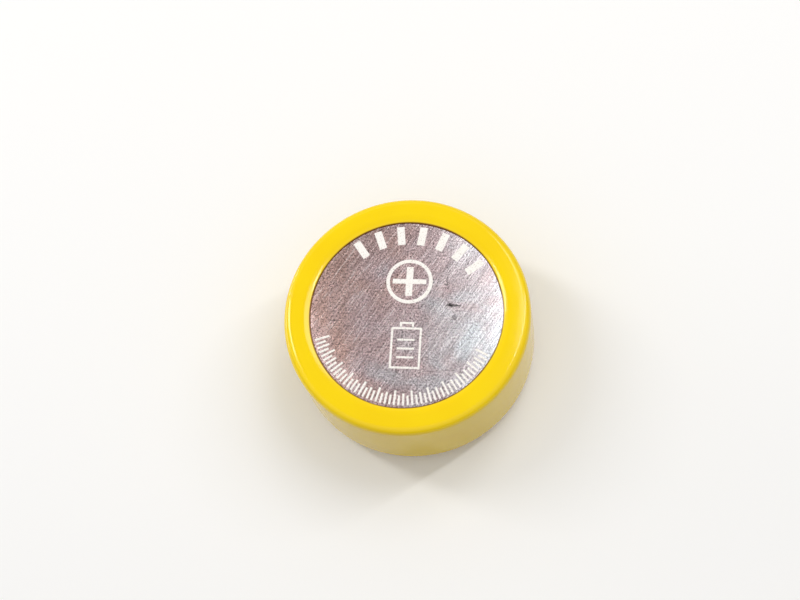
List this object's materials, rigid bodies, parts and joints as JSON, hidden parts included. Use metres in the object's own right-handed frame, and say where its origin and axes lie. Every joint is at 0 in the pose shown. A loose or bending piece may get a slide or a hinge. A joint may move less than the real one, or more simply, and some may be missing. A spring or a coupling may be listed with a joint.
{
  "type": "lithium coin cell",
  "caption": "Round rechargeable coin cell: crimped metal can and cap in a glossy film sleeve, with a wound electrode roll inside.",
  "frame": {"origin": "centre of the negative face, which the cell stands on", "axes": "+Z along the cell's axis towards the positive face, +Y towards the top of the print on that face"},
  "size_m": [0.0122, 0.0122, 0.0055],
  "materials": {
    "yellow_film": "gloss",
    "can_steel": "satin",
    "cap_steel": "satin",
    "gasket_plastic": "satin",
    "cathode_coating": "matte",
    "anode_coating": "matte",
    "separator_film": "matte",
    "tape_film": "gloss",
    "insulator_film": "matte",
    "tab_aluminium": "satin",
    "tab_nickel": "satin"
  },
  "bodies": {
    "root": {"insulating_sleeve": "yellow_film", "positive_can": "can_steel", "negative_cap": "cap_steel", "sealing_gasket": "gasket_plastic", "cathode_strip": "cathode_coating", "anode_strip": "anode_coating", "inner_separator": "separator_film", "outer_separator": "separator_film", "closing_tape": "tape_film", "positive_insulator": "insulator_film", "negative_insulator": "insulator_film", "positive_tab": "tab_aluminium", "negative_tab": "tab_nickel"}
  },
  "joints": []
}
